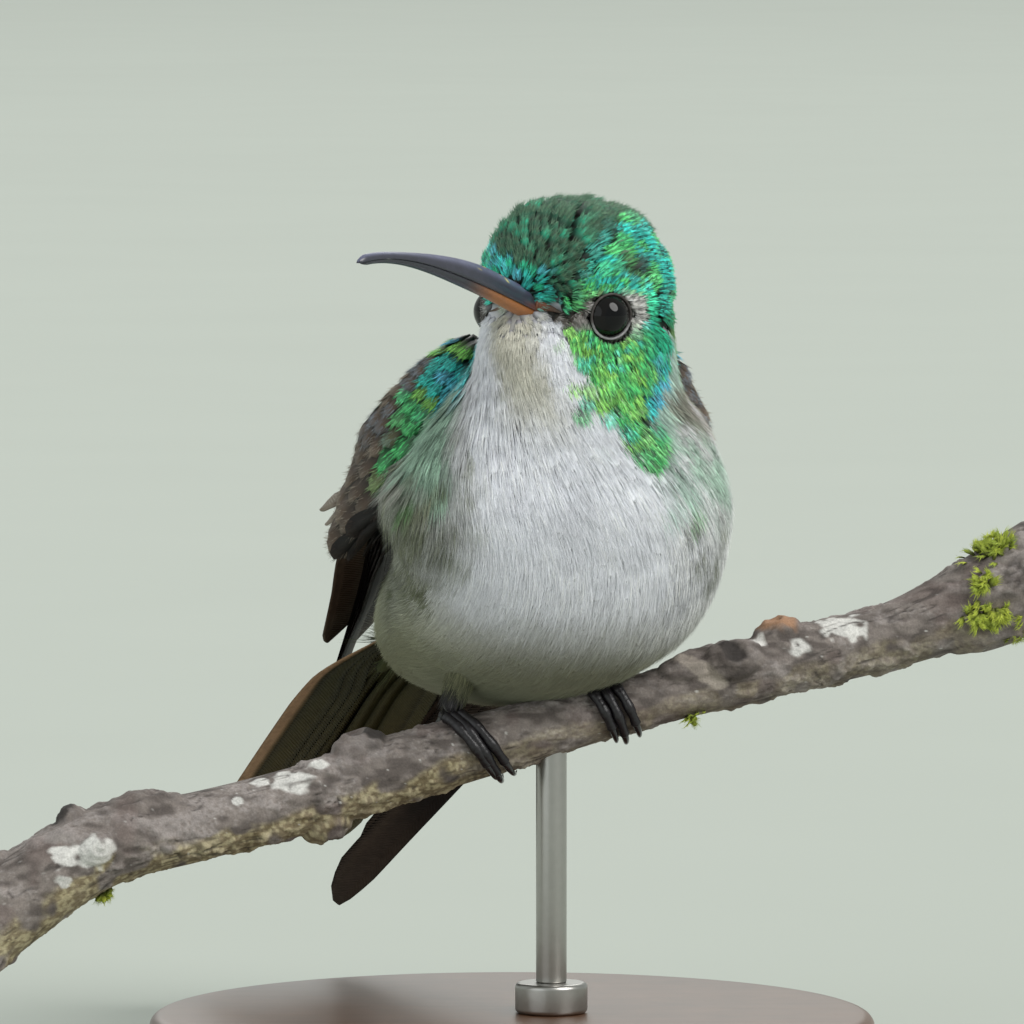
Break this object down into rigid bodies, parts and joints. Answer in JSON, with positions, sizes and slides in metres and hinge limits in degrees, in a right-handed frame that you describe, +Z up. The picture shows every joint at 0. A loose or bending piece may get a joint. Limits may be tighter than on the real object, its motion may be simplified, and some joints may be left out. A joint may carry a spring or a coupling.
{
  "type": "hummingbird model on a perch",
  "caption": "Life-size still model of a perched hummingbird with white underparts and a green head, gripping a cut twig on a small round stand.",
  "frame": {"origin": "centre of the round base's underside", "axes": "+Z up; the breast faces -Y, turned about 20 degrees towards +X; the bird's left is on the +X side and the tail runs back towards +Y"},
  "size_m": [0.0806, 0.0615, 0.0625],
  "materials": {
    "crown_feathers": "iridescent dusky green",
    "white_feathers": "soft matte white",
    "flank_feathers": "soft matte grey mottled with olive",
    "mantle_feathers": "iridescent green",
    "wing_feathers": "satin blackish brown",
    "tail_feathers": "satin bronze green",
    "bill_upper": "horn, satin slate black",
    "bill_lower": "horn, satin orange brown",
    "eye": "wet gloss, near black",
    "foot": "scaly skin, satin black",
    "claw": "horn, satin black",
    "bark": "rough grey bark with lichen",
    "stand_wood": "satin dark wood",
    "stand_steel": "satin"
  },
  "bodies": {
    "root": {"belly": "flank_feathers", "bill_lower": "bill_lower", "bill_upper": "bill_upper", "breast": "white_feathers", "claw_left_hind": "claw", "claw_left_inner": "claw", "claw_left_middle": "claw", "claw_left_outer": "claw", "claw_right_hind": "claw", "claw_right_inner": "claw", "claw_right_middle": "claw", "claw_right_outer": "claw", "eye_left": "eye", "eye_right": "eye", "head": "crown_feathers", "leg_left": "foot", "leg_right": "foot", "neck": "white_feathers", "perch_branch": "bark", "rump": "flank_feathers", "stand_base": "stand_wood", "stand_collar": "stand_steel", "stand_rod": "stand_steel", "tail_centre": "tail_feathers", "tail_left": "tail_feathers", "tail_right": "tail_feathers", "toe_left_hind": "foot", "toe_left_inner": "foot", "toe_left_middle": "foot", "toe_left_outer": "foot", "toe_right_hind": "foot", "toe_right_inner": "foot", "toe_right_middle": "foot", "toe_right_outer": "foot", "wing_left_coverts": "mantle_feathers", "wing_left_primaries": "wing_feathers", "wing_left_secondaries": "wing_feathers", "wing_right_coverts": "mantle_feathers", "wing_right_primaries": "wing_feathers", "wing_right_secondaries": "wing_feathers"}
  },
  "joints": []
}
